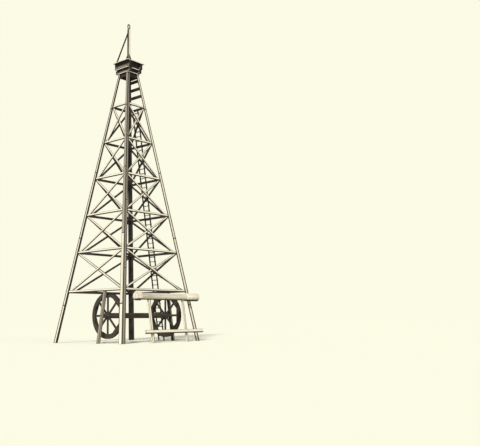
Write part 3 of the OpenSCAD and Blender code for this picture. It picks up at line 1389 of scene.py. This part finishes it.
@dataclass
class Braces:
    """Crossed planks in each bay, one nailed behind the other where they cross."""

    dresser: Dresser
    # Share of each brace's width painted in shade along its lower edge
    stain: float = 0.36
    least_facet: float = 0.009
    cross_nails: tuple[tuple[float, float], ...] = ((-0.05, 0.03), (0.0, -0.03), (0.05, 0.03))
    corner_nails: tuple[float, ...] = (0.05, 0.1)

    def build(self, fastenings: Fastenings) -> None:
        """Builds the braces of all sides.

        Args:
            fastenings: where the braces' nails go.
        """
        rig = self.dresser.rig
        dresser = replace(self.dresser, least_facet=self.least_facet)
        for side in Side:
            dresser.dress("braces_" + side.word, PINE, stain=self.stain, dark=rig.looks_in)
            for bay in range(len(rig.girt_z) - 1):
                self._nail_bay(side, bay, fastenings.nails)

    def _nail_bay(self, side: Side, bay: int, nails: Heads) -> None:
        """Nails one cross where its braces meet each other and the legs.

        Args:
            side: the cross's side.
            bay: its bay, counted from the ground.
            nails: where the nails go.
        """
        rig = self.dresser.rig
        odd = side.value % 2 == 1
        on_side = rig.on_side(side, mirrored=odd)
        low = rig.up(rig.girt_z[bay]) + rig.girt_h / 2
        high = rig.up(rig.girt_z[bay + 1]) - rig.girt_h / 2
        foot_in = rig.brace_in if odd else rig.front_brace_in - bay * rig.front_brace_step
        over = Vector((rig.leg_edge(low) - foot_in, low)), Vector((-rig.leg_edge(high), high))
        under = Vector((-rig.leg_edge(low), low)), Vector((rig.leg_edge(high), high))
        cross = geometry.intersect_line_line_2d(*over, *under)
        run = (over[1] - over[0]).normalized()
        aside = Vector((-run.y, run.x))
        if cross:
            depth = -rig.plank_t - rig.seat - nails.sink
            for a, c in self.cross_nails:
                place = cross + run * a + aside * c
                nails.drive(on_side @ Matrix.Translation((*place, depth)))
        for corner, way in ((over[1], -1), (under[0], 1), (under[1], -1)):
            for off in self.corner_nails:
                u = math.copysign(abs(corner.x) + off, corner.x)
                nails.drive(on_side @ Matrix.Translation((u, corner.y + way * off, -nails.sink)))


@dataclass
class Ladder:
    """A ladder of slats nailed across two rails, and the boards above it."""

    dresser: Dresser
    ease: float = 0.003
    rung_trim: float = 0.006
    # Share of each rung's width painted in shade along its lower edge
    rung_stain: float = 0.25
    nail_in: float = 0.019
    nail_off: float = 0.014

    def build(self, fastenings: Fastenings) -> None:
        """Builds rails, rungs and boards.

        Args:
            fastenings: where the rungs' nails go.
        """
        self.dresser.dress("ladder_rails", SHADOW_PINE, ease=self.ease)
        rungs = self.dresser.dress(
            "ladder_rungs", PINE, ease=self.ease, trim=self.rung_trim, stain=self.rung_stain
        )
        for rung in rungs:
            fastenings.nails.at_ends(rung, self.nail_in, self.nail_off, TO_RIGHT, Head.RUNG_NAIL)
        self.dresser.dress("top_step_boards", SHADOW_PINE)


@dataclass
class Crown:
    """Three plank decks on two courses of dark timbers, between the leg tops."""

    dresser: Dresser
    ease: float = 0.008
    # Share of each course timber's height painted in shade from its top down, standing for the
    # shadow of the deck above
    stain: float = 0.58
    bolt_out: float = 0.075
    bolt_share: float = 0.5
    deck_trim: float = 0.012
    nail_in: float = 0.06
    nail_share: float = 0.6

    @staticmethod
    def _painted_shade_faces(_place: Vector, normal: Vector) -> float:
        """1 for the faces of the courses that are painted in shade, which are all but those that
        look left.
        """
        return float(normal.x > -CLOSELY)

    @staticmethod
    def _underside(_place: Vector, normal: Vector) -> float:
        """1 for a deck's faces that look down, which are painted in shade."""
        return float(normal.z < -LOOSELY)

    def build(self, fastenings: Fastenings) -> None:
        """Builds headers, courses and decks.

        Args:
            fastenings: where the nails and bolts go.
        """
        self.dresser.dress("crown_headers", SHADOW_PINE)
        for node in ("low_crown_timbers", "top_crown_timbers"):
            self._course(node, fastenings)
        for node in ("low_deck_planks", "middle_deck_planks", "top_deck_planks"):
            planks = self.dresser.dress(node, DECK_PINE, trim=self.deck_trim, dark=self._underside)
            for plank in planks:
                off = self.nail_share * plank.half.y
                fastenings.nails.at_ends(plank, self.nail_in, off, UP)

    def _course(self, node: str, fastenings: Fastenings) -> None:
        """Builds one course and bolts its long timbers where the short ones cross them.

        Args:
            node: the course's node.
            fastenings: where the bolts go.
        """
        timbers = self.dresser.dress(
            node, CROWN_PINE, ease=self.ease, dark=self._painted_shade_faces, stain=self.stain, lit_side=-UP
        )
        a = min(timber.half.x for timber in timbers) + self.bolt_out
        for timber in timbers:
            if abs(timber.along.y) > CLOSELY:
                outwards = Vector((timber.middle.x - self.dresser.rig.centre.x, 0.0, 0.0))
                c = self.bolt_share * timber.half.y
                for end in (-a, a):
                    for off in (-c, c):
                        fastenings.bolt(timber, end, off, outwards)


@dataclass
class GinPole:
    """The mast on the crown, with its brace, cleats and iron ring."""

    dresser: Dresser
    ease: float = 0.01
    brace_ease: float = 0.006
    cleat_ease: float = 0.004
    ring_ease: float = 0.014

    @staticmethod
    def _painted_shade_side(_place: Vector, normal: Vector) -> float:
        """1 for the mast's faces that look left or back, which are painted in shade."""
        return float(normal.x < -CLOSELY or normal.y > CLOSELY)

    def build(self) -> None:
        """Builds the mast's pieces."""
        self.dresser.dress("gin_pole", PINE, ease=self.ease, dark=self._painted_shade_side)
        self.dresser.dress("gin_pole_brace", SHADOW_PINE, ease=self.brace_ease)
        self.dresser.dress("gin_pole_cleats", SHADOW_PINE, ease=self.cleat_ease)
        self.dresser.forge("gin_pole_ring", ease=self.ring_ease)


@dataclass
class BullWheels:
    """Two plank wheels on a round shaft, turning on iron gudgeons in two posts."""

    dresser: Dresser
    post_ease: float = 0.008
    # Share of each post's width painted in shade along one edge; faces that look inwards are
    # painted in shade too
    post_stain: float = 0.3
    shaft_ease: float = 0.01
    gudgeon_ease: float = 0.004
    cant_nails: tuple[float, ...] = (-0.3, -0.1, 0.1, 0.3)
    cant_nail_share: float = 0.3
    hub_bolts: int = 8
    hub_bolt_r: float = 0.2

    def build(self, fastenings: Fastenings) -> None:
        """Builds posts, shaft and wheels.

        Args:
            fastenings: where the wheels' nails and bolts go.
        """
        dress = self.dresser.dress
        looks_in = self.dresser.rig.looks_in
        wheel = Body.BULL_WHEEL
        dress(
            "bull_wheel_posts", POST_WOOD, ease=self.post_ease, stain=self.post_stain, dark=looks_in
        )
        (shaft,) = dress(
            "bull_wheel_shaft", SHAFT_WOOD, wheel, along=TO_RIGHT, ease=self.shaft_ease
        )
        for side in ("left", "right"):
            dress(side + "_wheel_arms", WHEEL_WOOD, wheel)
            cants = dress(side + "_wheel_rim", WHEEL_WOOD, wheel)
            self._fasten(cants, shaft, fastenings)
        self.dresser.forge("bull_wheel_gudgeons", wheel, ease=self.gudgeon_ease)

    def _fasten(self, cants: Sequence[Plank], shaft: Plank, fastenings: Fastenings) -> None:
        """Nails one wheel's cants together and bolts its hub.

        Args:
            cants: the curved planks of its rim, in two layers.
            shaft: the shaft.
            fastenings: where the nails and bolts go.
        """
        wheel_x = sum(cant.middle.x for cant in cants) / len(cants)
        for cant in cants:
            outwards = Vector((cant.middle.x - wheel_x, 0.0, 0.0))
            c = self.cant_nail_share * cant.half.y
            for a in self.cant_nails:
                for off in (-c, c):
                    fastenings.wheel_nails.into(cant, a, off, outwards)
        reach = max(abs(cant.middle.x - wheel_x) + cant.half.z for cant in cants)
        for way in (-1, 1):
            face = Matrix.Translation((wheel_x + way * reach, shaft.middle.y, shaft.middle.z))
            tilt = Matrix.Rotation(way * math.pi / 2, 4, "Y")
            for i in range(self.hub_bolts):
                turn = Matrix.Rotation((i + 0.5) * 2 * math.pi / self.hub_bolts, 4, "X")
                at = face @ turn @ Matrix.Translation((0.0, 0.0, self.hub_bolt_r))
                fastenings.wheel_bolts.drive(at @ tilt, Head.HUB_BOLT)


@dataclass
class LogFrame:
    """The heavy log outside the front side, its two posts and the rail at their feet."""

    dresser: Dresser
    log_ease: float = 0.02
    ease: float = 0.01
    # Shares painted in shade: along the right edge of each post and the lower edge of the rail, and
    # along the underside of the log
    stain: float = 0.3
    log_stain: float = 0.24
    head_l: float = 1.04
    worn: float = 0.22
    spike_apart: float = 0.035
    spike_share: float = 0.5

    def __post_init__(self) -> None:
        """Finds the log's ends."""
        self.log_ends = [corner[0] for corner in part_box("front_log")]

    def _worn(self, place: Vector, _normal: Vector) -> float:
        """How dark the log is: greyer between its thick ends, where it is worn."""
        left, right = self.log_ends
        return self.worn * (left + self.head_l < place.x < right - self.head_l)

    def build(self, fastenings: Fastenings) -> None:
        """Builds the log, posts and rail.

        Args:
            fastenings: where the rail's spikes go.
        """
        dress = self.dresser.dress
        dress(
            "front_log",
            LOG_WOOD,
            along=TO_RIGHT,
            ease=self.log_ease,
            stain=self.log_stain,
            dark=self._worn,
        )
        posts = [
            dress(node, PINE, ease=self.ease, stain=self.stain, lit_side=-TO_RIGHT)[0]
            for node in ("log_post_left", "log_post_right")
        ]
        (rail,) = dress("foot_rail", PINE, ease=self.ease, stain=self.stain)
        c = self.spike_share * rail.half.y
        for post in posts:
            up_post = (rail.middle.z - post.middle.z) / post.along.z
            a = (post.middle + post.along * up_post - rail.middle).dot(rail.along)
            for apart in (-self.spike_apart, self.spike_apart):
                for off in (-c, c):
                    fastenings.nails.into(rail, a + apart, off, TO_FRONT, Head.SPIKE)


def bearing(azimuth: float, height: float = 0.0) -> Vector:
    """Finds a direction away from the tower.

    Args:
        azimuth: degrees from the front side's outwards way, counted towards the right.
        height: degrees above the horizon.

    Returns:
        The direction, one metre long.
    """
    turn, rise = math.radians(azimuth), math.radians(height)
    level = math.cos(rise)
    return Vector((math.sin(turn) * level, -math.cos(turn) * level, math.sin(rise)))


@dataclass(frozen=True)
class Sun:
    """A soft sun: strength in watts a square metre, and its spread and direction in degrees."""

    name: str
    strength: float
    spread: float
    azimuth: float
    height: float
    colour: Colour = (1.0, 0.985, 0.95)

    def hang(self) -> None:
        """Puts the sun into the scene."""
        lamp = bpy.data.lights.new(self.name, "SUN")
        lamp.energy = self.strength
        lamp.angle = math.radians(self.spread)
        lamp.color = self.colour
        sun = put(self.name, lamp)
        sun.rotation_mode = "QUATERNION"
        sun.rotation_quaternion = bearing(self.azimuth, self.height).to_track_quat("Z", "Y")


@dataclass
class Stage:
    """The pale floor, the soft light and the camera at the picture's viewpoint."""

    rig: Rig
    focal_px: float = 700.0
    frame_px: tuple[int, int] = (480, 446)
    principal_y_px: float = 243.0
    distance: float = 43.533
    aside: float = 7.028
    eye: float = 1.215
    azimuth: float = -50.310
    pitch: float = 6.332
    roll: float = 0.704
    sensor: float = 36.0
    clip_end: float = 1000.0
    floor_size: float = 400.0
    suns: tuple[Sun, ...] = (Sun("key", 4.0, 8.0, -60.0, 40.0), Sun("fill", 0.5, 40.0, 0.0, 25.0))
    sky: Colour = (1.0, 0.98, 0.94)
    sky_strength: float = 0.25
    background: Colour = (0.973, 0.965, 0.783)

    def build(self) -> None:
        """Builds floor, world, lamps and camera."""
        self._floor()
        self._world()
        for sun in self.suns:
            sun.hang()
        self._camera()

    def _floor(self) -> None:
        """A wide plain floor under the feet."""
        mesh = bmesh.new()
        bmesh.ops.create_grid(mesh, x_segments=1, y_segments=1, size=self.floor_size)
        put_mesh("floor", mesh, FLOOR)

    def _world(self) -> None:
        """Even light all round, with the plain background where the camera sees past the floor."""
        world = bpy.data.worlds.new("studio")
        bpy.context.scene.world = world
        sheet = NodeSheet(world)
        rays = sheet.outputs("ShaderNodeLightPath")
        kinds = ("Is Camera Ray", "Is Glossy Ray", "Is Transmission Ray")
        seen = reduce(Socket.most, (rays[kind] for kind in kinds))
        lights = ((self.sky, self.sky_strength), (self.background, 1.0))
        light, backdrop = (
            sheet.make(
                "ShaderNodeBackground", inputs={"Color": opaque(colour), "Strength": strength}
            )[0]
            for colour, strength in lights
        )
        shader = sheet.make("ShaderNodeMixShader", inputs={0: seen, 1: light, 2: backdrop})[0]
        sheet.make("ShaderNodeOutputWorld", inputs={"Surface": shader})

    def _camera(self) -> None:
        """The camera, a little rolled and pitched up a little."""
        pitch = math.radians(self.pitch)
        width, height = self.frame_px
        back = bearing(self.azimuth)
        data = bpy.data.cameras.new("camera")
        data.sensor_width = self.sensor
        data.lens = self.focal_px / width * self.sensor
        data.shift_y = (self.principal_y_px - height / 2) / width
        data.clip_end = self.clip_end
        camera = put("camera", data)
        foot = self.rig.centre + back * self.distance + UP.cross(back) * self.aside
        camera.location = foot + UP * self.eye
        look = -back * math.cos(pitch) + UP * math.sin(pitch)
        turn = Quaternion((0.0, 0.0, 1.0), -math.radians(self.roll))
        camera.rotation_mode = "QUATERNION"
        camera.rotation_quaternion = look.to_track_quat("-Z", "Y") @ turn
        bpy.context.scene.camera = camera


def main() -> None:
    """Builds the stage and dresses each sub-assembly in order."""
    logging.basicConfig(level=logging.INFO, format="%(message)s")
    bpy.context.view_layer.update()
    scene = bpy.context.scene
    scene.view_settings.view_transform = "Standard"
    rig = Rig()
    dresser = Dresser(rig)
    fastenings = Fastenings()
    Stage(rig).build()
    Legs(rig, dresser).build(fastenings)
    Girts(dresser).build()
    Braces(dresser).build(fastenings)
    Ladder(dresser).build(fastenings)
    Crown(dresser).build(fastenings)
    GinPole(dresser).build()
    BullWheels(dresser).build(fastenings)
    LogFrame(dresser).build(fastenings)
    fastenings.build()


if __name__ == "__main__":
    main()
